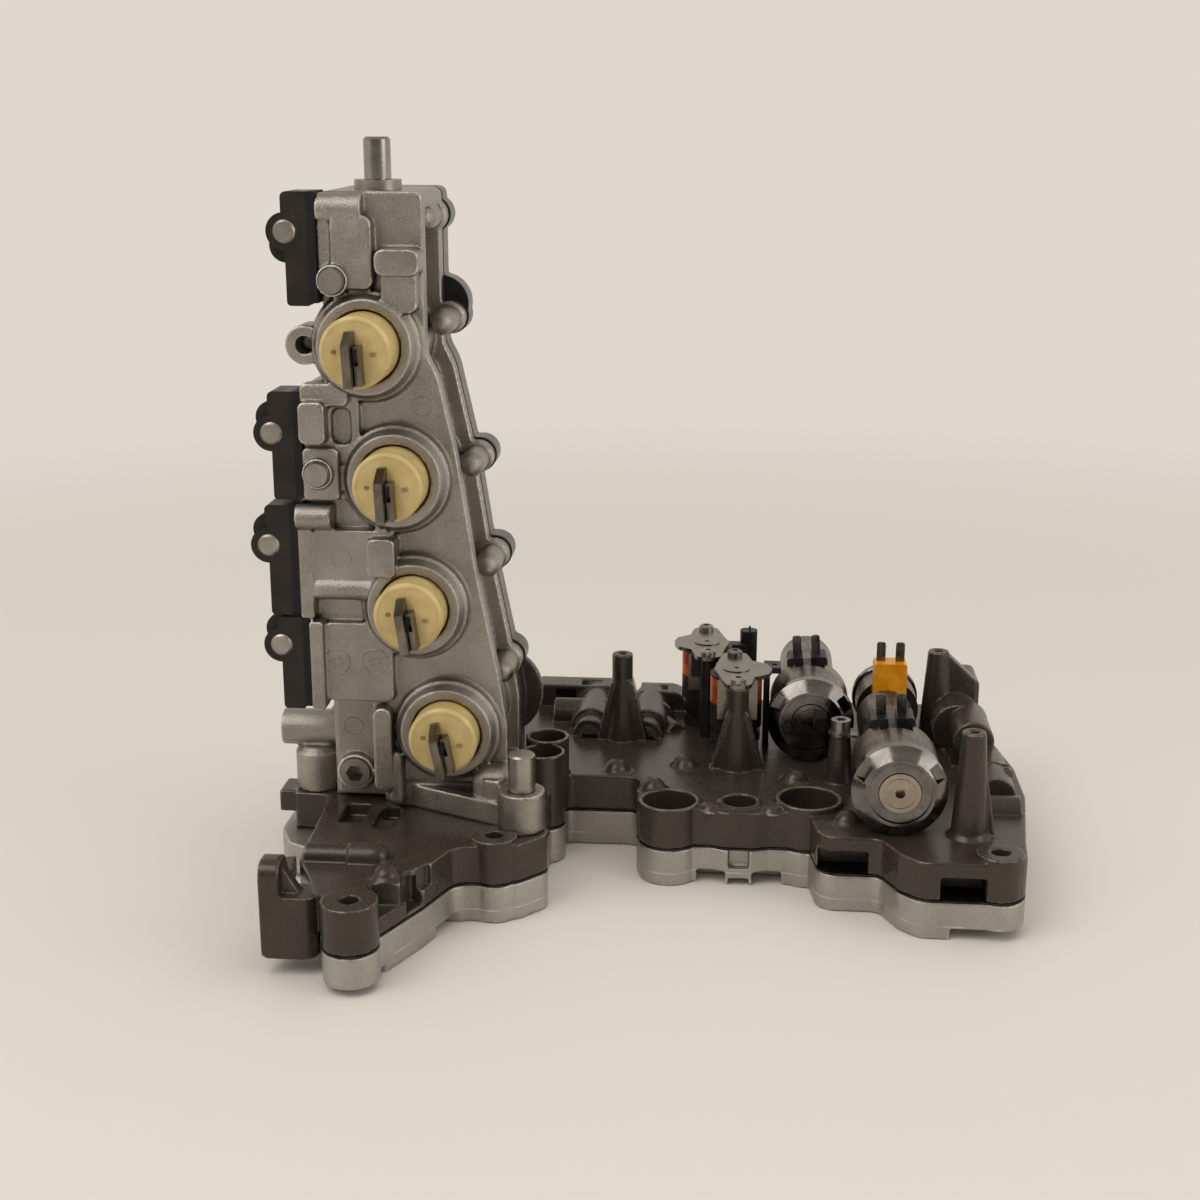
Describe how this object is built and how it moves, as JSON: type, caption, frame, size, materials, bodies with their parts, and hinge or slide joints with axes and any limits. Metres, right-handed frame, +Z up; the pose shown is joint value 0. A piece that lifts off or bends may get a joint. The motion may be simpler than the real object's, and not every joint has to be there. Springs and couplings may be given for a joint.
{
  "type": "transmission valve body",
  "caption": "Gearbox hydraulic control unit: stacked castings with oil ports and solenoids, and an upright tower of shift pistons.",
  "frame": {"origin": "on the lowest pads of the lower casting, beside the left oil port", "axes": "+X to the right along the front bolt row, +Y from the piston faces to the back, +Z up along the tower"},
  "size_m": [0.2875, 0.2397, 0.2739],
  "materials": {
    "bare_casting": "cast, with machined faces",
    "coated_casting": "dark hard coating over cast aluminium",
    "separator_steel": "coated sheet steel",
    "gasket_rubber": "matt",
    "piston_plastic": "moulded, satin",
    "finger_steel": "hardened, dark",
    "sensor_plastic": "glass filled, satin",
    "pin_steel": "ground",
    "screw_steel": "oiled, dark",
    "yoke_steel": "stamped, plated",
    "can_steel": "drawn, bright",
    "ring_steel": "turned",
    "pole_steel": "turned, warm plating",
    "copper_wire": "enamelled copper",
    "black_plastic": "moulded, satin",
    "amber_plastic": "moulded, slightly clear",
    "spring_steel": "drawn wire",
    "valve_metal": "hard anodised, ground"
  },
  "bodies": {
    "valve_body": {"lower_body": "bare_casting", "separator_plate": "separator_steel", "upper_body": "coated_casting", "casting_screws": "screw_steel", "tower_housing": "bare_casting", "tower_gasket": "gasket_rubber", "tower_back_plate": "coated_casting", "back_plate_screws": "screw_steel", "sensor_1": "sensor_plastic", "sensor_2": "sensor_plastic", "sensor_3": "sensor_plastic", "sensor_4": "sensor_plastic", "sensor_seals": "gasket_rubber", "sensor_pins": "pin_steel", "locating_pin": "pin_steel", "pin_collar": "pin_steel", "foot_dowel": "pin_steel", "hex_plug": "pin_steel", "core_plugs": "bare_casting", "yoke_a": "yoke_steel", "yoke_b": "yoke_steel", "coil_a": "copper_wire", "coil_b": "copper_wire", "bobbin_a": "black_plastic", "bobbin_b": "black_plastic", "solenoid_cores": "yoke_steel", "coil_connectors": "black_plastic", "yoke_screws": "screw_steel", "regulator_ring_c": "ring_steel", "regulator_ring_d": "ring_steel", "regulator_ring_e": "ring_steel", "regulator_can_c": "can_steel", "regulator_can_d": "can_steel", "regulator_can_e": "can_steel", "pole_disc_c": "pole_steel", "pole_disc_d": "pole_steel", "pole_disc_e": "pole_steel", "connector_c": "black_plastic", "connector_d": "black_plastic", "connector_e": "amber_plastic", "terminals": "screw_steel", "clamp_screw": "screw_steel", "clamp_bracket": "yoke_steel", "spool_spring_1": "spring_steel", "spool_spring_2": "spring_steel", "valve_plugs": "valve_metal"},
    "piston_1_unit": {"piston_1": "piston_plastic", "shift_finger_1": "finger_steel"},
    "piston_2_unit": {"piston_2": "piston_plastic", "shift_finger_2": "finger_steel"},
    "piston_3_unit": {"piston_3": "piston_plastic", "shift_finger_3": "finger_steel"},
    "piston_4_unit": {"piston_4": "piston_plastic", "shift_finger_4": "finger_steel"},
    "spool_1_unit": {"spool_1": "valve_metal"},
    "spool_2_unit": {"spool_2": "valve_metal"}
  },
  "joints": [
    {"name": "piston_1_slide", "type": "slide", "parent": "valve_body", "child": "piston_1_unit", "axis": [0, 1, 0], "range_m": [-0.006, 0.006]},
    {"name": "piston_2_slide", "type": "slide", "parent": "valve_body", "child": "piston_2_unit", "axis": [0, 1, 0], "range_m": [-0.006, 0.006]},
    {"name": "piston_3_slide", "type": "slide", "parent": "valve_body", "child": "piston_3_unit", "axis": [0, 1, 0], "range_m": [-0.006, 0.006]},
    {"name": "piston_4_slide", "type": "slide", "parent": "valve_body", "child": "piston_4_unit", "axis": [0, 1, 0], "range_m": [-0.006, 0.006]},
    {"name": "spool_1_slide", "type": "slide", "parent": "valve_body", "child": "spool_1_unit", "axis": [0, 1, 0], "range_m": [-0.004, 0], "stiffness_N_per_m": 300, "springref_m": 0.002, "deforming": ["spool_spring_1"]},
    {"name": "spool_2_slide", "type": "slide", "parent": "valve_body", "child": "spool_2_unit", "axis": [0, 1, 0], "range_m": [-0.004, 0], "stiffness_N_per_m": 300, "springref_m": 0.002, "deforming": ["spool_spring_2"]}
  ]
}
